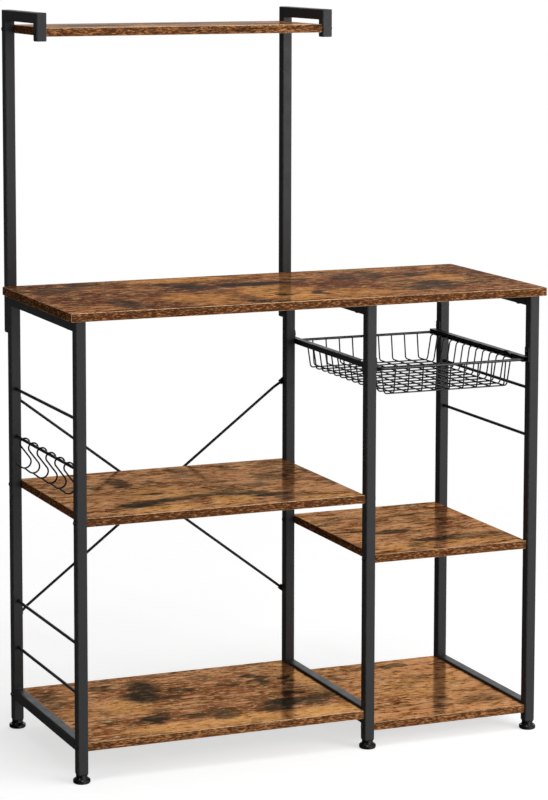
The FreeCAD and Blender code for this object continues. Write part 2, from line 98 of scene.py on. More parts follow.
def feed(tree, socket, value):
    """Links a socket to another node's output, or types a constant into it."""
    if isinstance(value, bpy.types.NodeSocket):
        tree.links.new(value, socket)
    else:
        socket.default_value = value


def put(tree, kind, inputs, **settings):
    """Adds a node of this kind with its settings made and its inputs fed."""
    node = tree.nodes.new(kind)
    for name, value in settings.items():
        setattr(node, name, value)
    for name, value in inputs.items():
        feed(tree, node.inputs[name], value)
    return node


def calc(tree, operation, first, second=0.0, clamp=False):
    """One step of arithmetic on two values."""
    inputs = {0: first, 1: second}
    return put(tree, "ShaderNodeMath", inputs, operation=operation, use_clamp=clamp).outputs[0]


def soften(tree, value, low, high, at_low=0.0, at_high=1.0):
    """Carries a value smoothly from at_low to at_high while it goes from low to high."""
    limits = {"Value": value, "From Min": low, "From Max": high, "To Min": at_low, "To Max": at_high}
    return put(tree, "ShaderNodeMapRange", limits, interpolation_type="SMOOTHSTEP").outputs[0]


def tint(tree, amount, below, above, way="MIX"):
    """Lays one colour over another by an amount, in one of the usual blend modes."""
    node = put(tree, "ShaderNodeMix", {}, data_type="RGBA", blend_type=way)
    feed(tree, node.inputs[0], amount)
    feed(tree, node.inputs[6], below)
    feed(tree, node.inputs[7], above)
    return node.outputs[2]


mid_grey = linear(128, 128, 128)[0]
print("a screen grey of 128 is", round(mid_grey, 3), "as a linear colour")

# %% [markdown]
# ## Patterns that stay on the piece
#
# Grain, paint and plating are all made of noise here. The noise is read at the point of the mesh in
# metres, so one number sets its real scale, and it rides along when a piece moves. Unwrapped texture
# space would do the same, but solid noise needs no unwrapping and has no seams.


# %% Helpers that lay a pattern on a surface
def cloud(tree, place, scale, detail=3.0, rough=0.5, swirl=0.0):
    """Noise between 0 and 1 with this many features per metre of its place vector."""
    settings = {"Vector": place, "Scale": scale, "Detail": detail, "Roughness": rough, "Distortion": swirl}
    return put(tree, "ShaderNodeTexNoise", settings).outputs[0]


def stretch(tree, place, scale, shift=(0.0, 0.0, 0.0)):
    """The place squeezed along its axes and moved, to draw a pattern out or to pick another part of it."""
    return put(tree, "ShaderNodeMapping", {"Vector": place, "Location": shift, "Scale": scale}).outputs[0]


def rest_place(tree):
    """The point on the mesh in metres and the way its surface faces; both ride with the body."""
    spot = put(tree, "ShaderNodeTexCoord", {})
    return spot.outputs["Object"], spot.outputs["Normal"]


def facing(tree, normal):
    """How squarely a surface faces along X, Y and Z, from 0 to 1."""
    whole = put(tree, "ShaderNodeVectorMath", {0: normal}, operation="ABSOLUTE").outputs[0]
    return put(tree, "ShaderNodeSeparateXYZ", {0: whole}).outputs


def rounded_edge(tree, normal, flat=0.995, turned=0.86):
    """1 along the rounded corners of tubes and boards, 0 on their flat faces."""
    sides = facing(tree, normal)
    squarest = calc(tree, "MAXIMUM", calc(tree, "MAXIMUM", sides[0], sides[1]), sides[2])
    return soften(tree, squarest, flat, turned)


def emboss(tree, shader, height, depth, strength):
    """Lets a height pattern catch the light; depth is in metres."""
    settings = {"Height": height, "Distance": depth, "Strength": strength}
    feed(tree, shader.inputs["Normal"], put(tree, "ShaderNodeBump", settings).outputs[0])


def dress(material, *names):
    """Gives CAD nodes a finish through their own material slot."""
    for name in names:
        nodes[name].material_slots[0].material = material
    print(material.name, "on", len(names), "node(s)")


# %% [markdown]
# ## Wood-print boards: the colours
#
# The boards are particle board under a printed paper: a warm brown with short dashes of grain along the
# length, reddish and straw-coloured streaks, and smoky charcoal patches as on old barn wood. A photo
# texture would be the usual way, but noise stretched along the grain needs no file and holds up at any
# distance. The print's own colours are bright, and `under_varnish` deepens them to what shows from above.

# %% Colours of the print
honey = linear(236, 180, 126)
walnut = linear(152, 108, 80)
gold_and_front_light = linear(255, 200, 122)
ember = linear(172, 110, 82)
olive = linear(120, 104, 80)
straw = linear(255, 232, 184)
soot = linear(68, 64, 59)
bark = linear(46, 31, 22)
band_dark = linear(88, 51, 30)
band_gold = linear(208, 146, 92)
worn_edge = linear(250, 218, 172)
under_varnish = (0.76, 0.60, 0.52, 1.0)
print("honey goes from", [round(v, 2) for v in honey[:3]], "to",
      [round(h * u, 2) for h, u in zip(honey[:3], under_varnish)], "under the varnish")

# %% [markdown]
# ## Wood-print boards: the large patches
#
# Where the smoky and golden patches lie is what makes each board itself, and the golden patches along the
# front edges are also painted light: the lit front of a board against its shaded back. A mask could be
# painted, but a short list of ovals can be read and changed. At each point the strongest oval counts, with a
# soft rim, and the ovals are looked up at a place that a swirl has pushed about, so that their rims wander.

# %% Patches as soft ovals
mm_per_metre = 1000
rim_reach, core_reach = 1.5, 0.7
sway_size = (0.085, 0.042, 0.0)


def oval_patches(tree, place, patches):
    """The strongest patch at each point; a patch is x, y, half length and half width in mm, and strength."""
    total = 0.0
    for x, y, half_length, half_width, strength in patches:
        size = (mm_per_metre / half_length, mm_per_metre / half_width, 0.0)
        shift = (-x / half_length, -y / half_width, 0.0)
        inputs = {0: place, 1: size, 2: shift}
        near = put(tree, "ShaderNodeVectorMath", inputs, operation="MULTIPLY_ADD").outputs[0]
        reach = put(tree, "ShaderNodeVectorMath", {0: near}, operation="LENGTH").outputs["Value"]
        patch = soften(tree, reach, rim_reach, core_reach, 0.0, strength)
        total = patch if total == 0.0 else calc(tree, "MAXIMUM", total, patch)
    return total


def swayed(tree, place):
    """The place pushed about by a swirl, evenly to all sides."""
    squeezed = stretch(tree, place, (1.0, 2.0, 2.0))
    swirl = put(tree, "ShaderNodeTexNoise", {"Vector": squeezed, "Scale": 24.0, "Detail": 6.0})
    inputs = {0: swirl.outputs["Color"], 1: sway_size, 2: place}
    pushed = put(tree, "ShaderNodeVectorMath", inputs, operation="MULTIPLY_ADD").outputs[0]
    half_sway = tuple(size / 2 for size in sway_size)
    return put(tree, "ShaderNodeVectorMath", {0: pushed, 1: half_sway}, operation="SUBTRACT").outputs[0]


print("patches wander by up to", [round(size / 2 * mm_per_metre) for size in sway_size], "mm")

# %% [markdown]
# ## Wood-print boards: the grain
#
# Printed grain is many things at once: a slow drift from dark to light, dashes, fine fibres, small knots,
# and casts of red and green. One noise can't give all of them, so each gets its own, squeezed across the
# board until its marks run along the length, and the colours are laid over each other one by one.


# %% The layers of the print and their colours
def print_layers(tree, place, seed):
    """The noises that a board is mixed from; the seed picks another stretch of the print."""
    def layer(squeeze, shift, **noise):
        return cloud(tree, stretch(tree, place, squeeze, shift), **noise)

    return {
        "drift": layer((1.0, 1.7, 1.0), (seed, seed * 2.0, 0.0), scale=7.0, detail=4.0, rough=0.55),
        "dashes": layer((1.0, 4.2, 4.2), (seed * 3.1, seed * 1.7, seed), scale=22.0, detail=5.0, rough=0.62,
                        swirl=0.4),
        "fibres": layer((1.0, 2.7, 2.7), (seed * 1.3, seed * 5.1, seed), scale=58.0, detail=6.0, rough=0.7),
        "knots": layer((1.0, 3.6, 3.6), (seed * 6.1, seed * 2.9, seed), scale=34.0, detail=2.0),
        "reds": layer((1.0, 1.6, 1.6), (seed * 7.7, 0.0, seed), scale=12.0, detail=4.0, rough=0.6),
        "greens": layer((1.0, 1.4, 1.4), (0.0, seed * 8.3, seed), scale=7.0, detail=4.0, rough=0.6),
        "smoke": layer((1.0, 1.6, 1.0), (seed * 2.3, seed * 4.1, 0.0), scale=9.0, detail=5.0, rough=0.6),
        "wander": layer((0.7, 1.5, 1.0), (seed * 9.1, seed * 3.7, seed), scale=14.0, detail=5.0, rough=0.7),
        "flecks": layer((0.38, 0.38, 1.9), (seed, 0.0, seed), scale=300.0, detail=4.0, rough=0.7),
    }


def grain_colour(tree, layer, spot, warmth_and_shade, dash_depth, golden_and_front_light):
    """The print without its smoke: a higher warmth tips it to honey, partly the print's own tone and partly
    painted shade that evens out each board's light; dash_depth sets how dark its dashes go.
    """
    drift_share, dash_share = 0.45, 0.55
    slow = calc(tree, "MULTIPLY", layer["drift"], drift_share)
    tone = calc(tree, "ADD", slow, calc(tree, "MULTIPLY", layer["dashes"], dash_share))
    colour = tint(tree, soften(tree, tone, 0.44 - warmth_and_shade, 0.57 - warmth_and_shade), walnut, honey)
    # gold patches: partly the print's own, and along the front edges also painted light, where a board's
    # front is lit more than its shaded back
    colour = tint(tree, oval_patches(tree, spot, golden_and_front_light), colour, gold_and_front_light)
    colour = tint(tree, soften(tree, layer["reds"], 0.50, 0.68, at_high=0.5), colour, ember)
    colour = tint(tree, soften(tree, layer["greens"], 0.52, 0.72, at_high=0.6), colour, olive)
    colour = tint(tree, soften(tree, layer["fibres"], 0.48, 0.38, at_high=dash_depth), colour, bark)
    colour = tint(tree, soften(tree, layer["fibres"], 0.54, 0.63, at_high=0.75), colour, straw)
    return tint(tree, soften(tree, layer["knots"], 0.33, 0.26, at_high=0.9), colour, bark)


# %% [markdown]
# ## Wood-print boards: smoke, scratches and edges
#
# The smoky patches are broken up by the fibres, as ink is on real grain. Faint pale scratches follow the
# level line of a noise, which is thin, long and never straight. The edges carry a glued band with short
# flecks instead of the print. Each of the three is a small function, so that it can be tried alone.


# %% Smoke, scratches and edge band
def smoke_cover(tree, layer, spot, smoky):
    """How much soot lies at each point: a faint haze and the board's own patches, broken by fibres."""
    haze = soften(tree, layer["smoke"], 0.58, 0.76, at_high=0.45)
    cover = calc(tree, "MAXIMUM", haze, oval_patches(tree, spot, smoky))
    return calc(tree, "MULTIPLY", cover, soften(tree, layer["fibres"], 0.30, 0.66, 1.15, 0.9), clamp=True)


def fine_scratches(tree, layer):
    """Thin pale lines where a noise crosses its middle, only in the lighter areas."""
    line = calc(tree, "ABSOLUTE", calc(tree, "SUBTRACT", layer["wander"], 0.5))
    lighter = soften(tree, layer["drift"], 0.46, 0.60, at_high=0.4)
    return calc(tree, "MULTIPLY", soften(tree, line, 0.014, 0.004), lighter)


def edge_band(tree, layer, edge_shift):
    """The flecked band on a board's edges; a larger shift leaves fewer flecks of band_gold."""
    flecked = soften(tree, layer["flecks"], 0.46 + edge_shift, 0.68 + edge_shift)
    band = tint(tree, flecked, band_dark, band_gold)
    return tint(tree, soften(tree, layer["dashes"], 0.52, 0.36, at_high=0.45), band, bark)


# %% [markdown]
# ## Wood-print boards: the finish
#
# The varnished print is deep brown from above and mirrors the room in its own warm colour at a flat angle.
# A clear coat is the usual way, but at the flat angle of this picture it turns white and hides the print.
# So a share of the surface is set to metallic, which mirrors in colour: the base colour is the print under
# the varnish, and the mirror colour at flat angles is the bright print. The band on the edges is duller.


# %% The finish of one board
def wood_print(name, seed, warmth_and_shade, dash_depth, edge_shift, sheen_share, sheen_depth, smoky, golden_and_front_light):
    material, tree, shader = start_finish(name)
    place, normal = rest_place(tree)
    layer, spot = print_layers(tree, place, seed), swayed(tree, place)
    colour = grain_colour(tree, layer, spot, warmth_and_shade, dash_depth, golden_and_front_light)
    colour = tint(tree, fine_scratches(tree, layer), colour, straw)
    smoke = smoke_cover(tree, layer, spot, smoky)
    bright = tint(tree, smoke, colour, soot)
    sheen = put(tree, "ShaderNodeGamma", {"Color": bright, "Gamma": sheen_depth}).outputs[0]
    colour = tint(tree, 1.0, colour, under_varnish, "MULTIPLY")
    colour = tint(tree, smoke, colour, soot)

    on_edge = soften(tree, facing(tree, normal)[2], 0.55, 0.35)
    colour = tint(tree, on_edge, colour, edge_band(tree, layer, edge_shift))
    patchy = soften(tree, layer["dashes"], 0.3, 0.6, 0.5, 1.0)
    rub = calc(tree, "MULTIPLY", rounded_edge(tree, normal), patchy)
    feed(tree, shader.inputs["Base Color"], tint(tree, rub, colour, worn_edge))

    polish = soften(tree, layer["fibres"], 0.3, 0.7, at_low=0.1, at_high=0.2)
    duller_edge = calc(tree, "MULTIPLY", on_edge, 0.25)
    feed(tree, shader.inputs["Roughness"], calc(tree, "ADD", polish, duller_edge))
    feed(tree, shader.inputs["Specular Tint"], sheen)
    edge_sheen_share = 0.1
    feed(tree, shader.inputs["Metallic"], soften(tree, on_edge, 0.0, 1.0, sheen_share, edge_sheen_share))
    shader.inputs["Specular IOR Level"].default_value = 0.0
    emboss(tree, shader, layer["fibres"], depth=0.00012, strength=0.3)
    return material


# %% [markdown]
# ## Wood-print boards: one by one
#
# The six boards are cut from different stretches of the print, so each has its own patches. They share one
# finish, and their warmth and sheen differ for the light: the counter is painted darker against its brighter
# sheen at a flat angle, and the lower boards mirror more and in paler colour, a painted reflection; the rest
# of the warmth is the print's own tone. One material with the patches of all boards would be heavy, so each
# board gets its own from the same recipe. The patches are listed: x, y, half length and half width in
# millimetres, and strength.

# %% Where each board carries its patches
# warmth, sheen_share and sheen_depth: one finish on all boards; the counter's lower warmth is painted shade
# against its brighter sheen, and the lower boards' larger, paler sheen is painted reflection
boards = {
    "counter_board": {
        "warmth_and_shade": -0.045, "dash_depth": 0.9, "edge_shift": 0.018, "sheen_share": 0.47, "sheen_depth": 1.15,
        "smoky": [
            (-20, 40, 80, 18, 0.95), (-140, 47, 32, 36, 0.8), (-170, 80, 32, 20, 0.55),
            (80, 67, 26, 15, 0.65), (-320, 142, 26, 18, 0.65), (-390, 77, 42, 30, 0.65),
            (-350, 97, 30, 24, 0.45), (-330, 22, 13, 6, 0.75), (-320, -123, 23, 50, 0.7),
            (-100, -173, 12, 18, 0.95), (-20, -108, 14, 14, 0.95), (45, -108, 14, 26, 0.85),
            (175, 72, 26, 40, 0.65), (230, 72, 20, 45, 0.65), (310, 57, 22, 28, 0.8),
            (290, -68, 36, 28, 0.75), (260, -113, 45, 34, 0.65), (430, 37, 13, 12, 0.65),
        ],
        # golden lists: print patches; those along the front edge (y below zero) are also painted light
        "golden_and_front_light": [
            (-120, 142, 110, 28, 0.75), (-20, -53, 70, 55, 0.75), (-10, -133, 60, 45, 0.8),
            (-175, -95, 60, 45, 0.6), (-150, -165, 60, 25, 0.5), (340, 7, 40, 50, 0.6),
            (100, -133, 80, 50, 0.45), (40, 150, 50, 20, 0.5),
        ],
    },
    "left_middle_shelf": {
        "warmth_and_shade": 0.03, "dash_depth": 0.8, "edge_shift": 0.028, "sheen_share": 0.5, "sheen_depth": 0.46,
        "smoky": [
            (-272, 73, 17, 44, 0.8), (-220, 56, 13, 12, 0.7), (-246, -44, 22, 6, 0.95),
            (-263, 16, 9, 5, 0.85), (-302, -120, 45, 20, 0.95), (-250, -102, 50, 14, 0.9),
            (-183, -87, 52, 12, 0.8), (-124, -79, 42, 12, 0.7), (-87, -98, 36, 14, 0.85),
            (-57, -120, 36, 16, 0.9), (-42, -150, 20, 15, 0.65), (-135, 132, 20, 26, 0.6),
            (-124, 88, 36, 15, 0.5), (-101, 21, 30, 8, 0.5), (-42, -31, 26, 20, 0.55),
            (2, 28, 30, 30, 0.5), (-38, 125, 15, 26, 0.45), (-413, -146, 12, 10, 0.7),
            (92, 66, 12, 15, 0.6), (92, -46, 15, 30, 0.5),
        ],
        "golden_and_front_light": [
            (-235, -61, 70, 22, 0.6), (-258, -157, 60, 20, 0.8), (-131, -135, 40, 22, 0.9),
            (-220, -16, 60, 20, 0.5), (40, -172, 60, 12, 0.6),
        ],
    },
    "left_bottom_shelf": {
        "warmth_and_shade": -0.02, "dash_depth": 0.6, "edge_shift": -0.025, "sheen_share": 0.6, "sheen_depth": 0.34,
        "smoky": [
            (-235, 40, 36, 36, 0.95), (-215, 90, 28, 45, 0.9), (-198, 21, 30, 16, 0.8),
            (-154, 58, 22, 16, 0.8), (-64, 54, 14, 9, 0.8), (2, 73, 16, 35, 0.85),
            (58, 58, 12, 16, 0.9), (25, -37, 18, 8, 0.95), (-265, -105, 26, 20, 0.95),
            (-250, -76, 12, 20, 0.6), (-198, -105, 18, 18, 0.7), (-142, -105, 28, 22, 0.7),
            (-139, -135, 16, 12, 0.7), (-35, -113, 30, 18, 0.85), (-5, -90, 30, 25, 0.95),
            (54, -79, 42, 14, 0.8), (32, -105, 40, 14, 0.6), (-354, -98, 14, 12, 0.8),
            (-309, -113, 18, 10, 0.6), (-399, 95, 20, 40, 0.6), (-399, 43, 18, 25, 0.6),
            (-295, 118, 30, 15, 0.7), (-87, 125, 20, 8, 0.6),
        ],
        "golden_and_front_light": [
            (-376, -24, 30, 30, 0.5), (40, -160, 80, 22, 1.0), (-80, -160, 80, 25, 0.8),
            (84, 60, 18, 90, 0.7), (-280, -9, 40, 40, 0.6), (-230, -160, 100, 25, 0.6),
        ],
    },
    "right_middle_shelf": {
        "warmth_and_shade": 0.01, "dash_depth": 0.8, "edge_shift": 0.012, "sheen_share": 0.5, "sheen_depth": 0.46,
        "smoky": [
            (158, -10, 45, 8, 0.8), (229, -32, 36, 14, 0.85), (275, -116, 38, 14, 0.85),
            (219, -146, 18, 12, 0.7), (330, -111, 60, 14, 0.6), (390, -116, 30, 20, 0.6),
            (179, 101, 40, 8, 0.45), (310, 86, 60, 6, 0.4), (249, 58, 14, 4, 0.85),
            (128, 56, 12, 8, 0.6),
        ],
        "golden_and_front_light": [(209, -156, 60, 14, 0.5), (340, -156, 50, 14, 0.45)],
    },
    "right_bottom_shelf": {
        "warmth_and_shade": 0.05, "dash_depth": 0.75, "edge_shift": -0.02, "sheen_share": 0.62, "sheen_depth": 0.38,
        "smoky": [
            (318, 139, 26, 14, 0.7), (177, 101, 14, 22, 0.5), (302, -94, 18, 14, 0.7),
            (210, -113, 50, 5, 0.5), (286, -137, 14, 10, 0.6), (372, -126, 40, 25, 0.5),
            (307, 58, 60, 5, 0.4),
        ],
        "golden_and_front_light": [(318, 15, 80, 20, 0.4), (253, -39, 60, 20, 0.4)],
    },
    "upper_shelf": {
        "warmth_and_shade": 0.02, "dash_depth": 0.8, "edge_shift": 0.0, "sheen_share": 0.45, "sheen_depth": 0.7,
        "smoky": [(-300, 90, 60, 40, 0.8), (-120, 140, 80, 25, 0.7), (20, 70, 40, 30, 0.7)],
        "golden_and_front_light": [(-200, 60, 60, 30, 0.6)],
    },
}
first_seed, seed_step = 0.4, 1.37
for number, (board, traits) in enumerate(boards.items()):
    dress(wood_print("wood_print_" + board, seed_step * number + first_seed, **traits), board)

# %% [markdown]
# ## Powder-coated tube, rods and wire
#
# The frames are black powder coat: paint baked on as dust, satin, with a fine orange-peel skin, and rubbed
# a little paler along the corners. A flat black would read as a hole in the picture. A faint cloud in the
# colour, a roughness that wanders and a shallow bump are enough to make it paint on steel, and one recipe
# with other numbers serves the tubes, the rails, the thin rods, the basket and the glossier hooks.


# %% Coated steel in several grades of gloss
def coated_steel(name, shade, rough_low, rough_high, peel_scale, peel_depth, wear, shine=0.5):
    """Black paint on steel: shade is its grey on screen, wear how far the corners are rubbed pale."""
    material, tree, shader = start_finish(name)
    shader.inputs["Specular IOR Level"].default_value = shine
    place, normal = rest_place(tree)
    bloom = cloud(tree, place, scale=38.0, detail=4.0, rough=0.6)
    peel = cloud(tree, place, scale=peel_scale, detail=2.0)
    dust = cloud(tree, place, scale=240.0, detail=3.0, rough=0.7)
    paler, rubbed = 7, linear(104, 102, 100)
    base = linear(shade, shade, shade + 1)
    pale = linear(shade + paler, shade + paler, shade + paler + 1)
    colour = tint(tree, soften(tree, bloom, 0.35, 0.7), base, pale)
    rub = calc(tree, "MULTIPLY", rounded_edge(tree, normal), soften(tree, dust, 0.42, 0.68, at_high=wear))
    feed(tree, shader.inputs["Base Color"], tint(tree, rub, colour, rubbed))
    satin = soften(tree, bloom, 0.3, 0.7, rough_low, rough_high)
    feed(tree, shader.inputs["Roughness"], calc(tree, "ADD", satin, calc(tree, "MULTIPLY", dust, 0.06)))
    emboss(tree, shader, peel, peel_depth, strength=0.4)
    return material


tube_nodes = [name for name in nodes if name.endswith(("_leg", "_bar", "_upright", "_arm"))]
rail_nodes = ["left_basket_rail", "right_basket_rail"]
rod_nodes = ["left_upper_rod", "hook_rail", "left_lower_rods", "right_side_rods", "falling_brace",
             "rising_brace"]
basket_nodes = ["basket_rim", "basket_long_wires", "basket_cross_wires"]
hook_nodes = [name for name in nodes if name.startswith("s_hook")]
tube_coat = coated_steel("powder_coat_tube", 36, 0.36, 0.46, peel_scale=900.0, peel_depth=0.00006, wear=0.35)
rail_coat = coated_steel("powder_coat_rail", 30, 0.34, 0.44, peel_scale=900.0, peel_depth=0.00005, wear=0.3)
rod_coat = coated_steel("powder_coat_rod", 18, 0.32, 0.42, peel_scale=1100.0, peel_depth=0.00004, wear=0.0)
basket_coat = coated_steel("basket_wire_coat", 24, 0.22, 0.3, peel_scale=1400.0, peel_depth=0.00003,
                           wear=0.0, shine=0.9)
hook_coat = coated_steel("hook_gloss_coat", 1, 0.05, 0.09, peel_scale=1400.0, peel_depth=0.00002,
                         wear=0.0, shine=0.3)
dress(tube_coat, *tube_nodes)
dress(rail_coat, *rail_nodes)
dress(rod_coat, *rod_nodes)
dress(basket_coat, *basket_nodes)
dress(hook_coat, *hook_nodes)

# %% [markdown]
# ## Blackened bolts and screws
#
# The bolts are steel that was blackened in a bath, a touch browner than the paint and shinier. Painted black
# they would vanish in the frame. A metal with a stained, dark base colour keeps the small glint of a head.


# %% Bolts
def blackened_bolt(name):
    material, tree, shader = start_finish(name)
    place, _ = rest_place(tree)
    stain = cloud(tree, place, scale=420.0, detail=4.0, rough=0.65)
    colour = tint(tree, soften(tree, stain, 0.35, 0.7), linear(44, 42, 41), linear(96, 92, 90))
    feed(tree, shader.inputs["Base Color"], colour)
    feed(tree, shader.inputs["Roughness"], soften(tree, stain, 0.3, 0.7, at_low=0.2, at_high=0.36))
    shader.inputs["Metallic"].default_value = 0.7
    emboss(tree, shader, stain, depth=0.00004, strength=0.4)
    return material


dress(blackened_bolt("blackened_bolt"), "shelf_bolts", "upright_bolts", "counter_screws", "plate_screws")

# %% [markdown]
# ## Plastic feet and plugs
#
# The foot pads are glossy black plastic, scuffed round the bottom where they slide on the floor. The plugs
# in the tube ends are the same plastic, matt. The scuffs could be painted on, but a noise that fades with
# height puts them where the floor rubs, on all six pads at once.


# %% Moulded plastic
def moulded_plastic(name, shade, rough_low, rough_high, scuff):
    scuff_height, scuff_elsewhere, scuff_rough, scuff_bump = 0.004, 0.15, 0.3, 2.0
    material, tree, shader = start_finish(name)
    place, _ = rest_place(tree)
    pebble = cloud(tree, place, scale=1600.0, detail=2.0)
    scrape = cloud(tree, stretch(tree, place, (1.0, 1.0, 6.0)), scale=220.0, detail=4.0, rough=0.7)
    height = put(tree, "ShaderNodeSeparateXYZ", {0: place}).outputs[2]
    rubbed = calc(tree, "ADD", soften(tree, height, scuff_height, 0.0), scuff_elsewhere, clamp=True)
    worn = calc(tree, "MULTIPLY", soften(tree, scrape, 0.45, 0.7, at_high=scuff), rubbed)
    colour = tint(tree, worn, linear(shade, shade, shade + 1), linear(92, 90, 88))
    feed(tree, shader.inputs["Base Color"], colour)
    smooth = soften(tree, scrape, 0.35, 0.7, rough_low, rough_high)
    rough = calc(tree, "ADD", smooth, calc(tree, "MULTIPLY", worn, scuff_rough))
    feed(tree, shader.inputs["Roughness"], rough)
    relief = calc(tree, "ADD", pebble, calc(tree, "MULTIPLY", worn, scuff_bump))
    emboss(tree, shader, relief, depth=0.00003, strength=0.35)
    return material


pad_nodes = [name for name in nodes if name.endswith("_foot_pad")]
dress(moulded_plastic("foot_gloss_plastic", 18, 0.16, 0.26, scuff=0.7), *pad_nodes)
dress(moulded_plastic("plug_matt_plastic", 28, 0.45, 0.6, scuff=0.2), "tube_caps", "foot_plugs")

# %% [markdown]
# ## Zinc-plated foot stems
#
# The stems of the feet are bare plated steel, pale and a little streaked. A clean mirror would look like
# glass here, so the streaks, drawn out along the stem, roughen the metal and shift its grey.


# %% Zinc plate
def zinc_plate(name):
    material, tree, shader = start_finish(name)
    place, _ = rest_place(tree)
    streak = cloud(tree, stretch(tree, place, (1.0, 1.0, 0.2)), scale=900.0)
    feed(tree, shader.inputs["Base Color"], tint(tree, streak, linear(150, 150, 148), linear(206, 205, 200)))
    feed(tree, shader.inputs["Roughness"], soften(tree, streak, 0.3, 0.7, at_low=0.24, at_high=0.42))
    shader.inputs["Metallic"].default_value = 1.0
    emboss(tree, shader, streak, depth=0.00002, strength=0.3)
    return material


stem_nodes = [name for name in nodes if name.endswith("_foot_stem")]
zinc = zinc_plate("zinc_plated_stem")
dress(zinc, *stem_nodes)

# %% [markdown]
# ## Threads on the foot stems
#
# Each foot screws into its leg on a stem with a coarse right-hand thread, which shows when the foot is let
# down. A texture could fake the thread, but its outline is a zigzag, so it is cut into the mesh: a grid
# wrapped round the stem whose radius rises and falls once per turn along a helix. The threaded mesh stands
# in for the plain stem, and turns with it.


# %% A home for new pieces
def new_piece(name, build, material, body):
    """Turns a finished bmesh into an object with one finish that moves with a body."""
    crease = math.radians(50.0)
    bmesh.ops.recalc_face_normals(build, faces=build.faces)
    mesh = bpy.data.meshes.new(name)
    build.to_mesh(mesh)
    build.free()
    mesh.polygons.foreach_set("use_smooth", [True] * len(mesh.polygons))
    mesh.set_sharp_from_angle(angle=crease)
    mesh.materials.append(material)
    piece = bpy.data.objects.new(name, mesh)
    bpy.context.collection.objects.link(piece)
    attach(piece, body)
    print(name, "has", len(mesh.polygons), "faces and rides on", body)
    return piece


def close_rings(build, rings):
    """Skins a stack of equal rings of vertices and shuts both ends."""
    for lower, upper in zip(rings, rings[1:]):
        for k in range(len(lower)):
            after = (k + 1) % len(lower)
            build.faces.new((lower[k], lower[after], upper[after], upper[k]))
    build.faces.new(rings[0])
    build.faces.new(rings[-1])


# %% Threaded stems
thread_pitch = 0.00125
crest_radius, root_radius = 0.004, 0.0033
steps_per_pitch, steps_round = 8, 24
flank_slope, root_flat = 1.25, 0.125


def thread_radius(z, turn, chamfer):
    """The stem's radius at a height and a share of a turn; the chamfer brings it down at the ends."""
    phase = (z / thread_pitch - turn) % 1.0
    ridge = min(1.0, max(0.0, flank_slope * (1.0 - abs(2.0 * phase - 1.0)) - root_flat))
    return root_radius + (crest_radius - root_radius) * ridge * chamfer


for stem in stem_nodes:
    low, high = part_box(stem)
    middle_x, middle_y = (low[0] + high[0]) / 2, (low[1] + high[1]) / 2
    levels = round((high[2] - low[2]) / thread_pitch * steps_per_pitch)
    build = bmesh.new()
    rings = []
    for level in range(levels + 1):
        z = low[2] + (high[2] - low[2]) * level / levels
        chamfer = min(1.0, min(z - low[2], high[2] - z) / thread_pitch)
        ring = []
        for k in range(steps_round):
            radius = thread_radius(z, k / steps_round, chamfer)
            angle = math.tau * k / steps_round
            spot = (middle_x + radius * math.cos(angle), middle_y + radius * math.sin(angle), z)
            ring.append(build.verts.new(spot))
        rings.append(ring)
    close_rings(build, rings)
    threaded = new_piece(stem + "_threaded", build, zinc, stem.replace("_foot_stem", "_stem"))
    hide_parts(stem)

# %% [markdown]
# ## Weld collars on the side rods
#
# The frames are welded before they are coated, so a small collar of weld runs round each rod where it meets
# a leg. A torus would do from afar, but a weld is concave and uneven. So a short profile, high at the leg
# and thin on the rod, is swept round the rod, and its height swells and shrinks three times on the way.


# %% Collars where the side rods meet the legs
def mm(*values):
    return [value / mm_per_metre for value in values]


rod_radius = 2.75
collar_profile = [(-0.1, -0.3), (-0.1, 1.2), (0.4, 1.0), (0.9, 0.6), (1.5, 0.25), (2.2, 0.06), (2.2, -0.3)]
collar_sides, lump_depth, lump_count, lump_turn = 18, 0.2, 3.0, 1.7
frame_x = {"left": -430.5, "middle": 108.5, "right": 430.5}
leg_faces = ((-176.0, 1.0), (162.0, -1.0))
rods = [(frame_x["left"], 541.5), (frame_x["left"], 628.0), (frame_x["left"], 151.5),
        (frame_x["left"], 238.0), (frame_x["right"], 541.5), (frame_x["right"], 628.0)]
build = bmesh.new()
for rod_number, (x, z) in enumerate(rods):
    for face_y, way in leg_faces:
        loops = []
        for k in range(collar_sides):
            angle = math.tau * k / collar_sides
            lump = 1.0 + lump_depth * math.sin(lump_count * angle + rod_number * lump_turn + way)
            loop = []
            for along, rise in collar_profile:
                radius = rod_radius + (rise * lump if rise > 0.0 else rise)
                spot = mm(x + radius * math.cos(angle), face_y + way * along, z + radius * math.sin(angle))
                loop.append(build.verts.new(spot))
            loops.append(loop)
        for k in range(collar_sides):
            here, there = loops[k], loops[(k + 1) % collar_sides]
            for j in range(len(collar_profile)):
                after = (j + 1) % len(collar_profile)
                build.faces.new((here[j], there[j], there[after], here[after]))
new_piece("rod_end_welds", build, tube_coat, "frame")

# %% [markdown]
# ## Weld beads in the tube corners
#
# Where a crossbar or an arm meets a leg, a rippled bead fills the inner corner. It could be a bump in the
# paint, but in the corner its outline shows. A small rounded section is drawn along the corner, and its size
# ripples as the weld pool did and tapers at both ends.

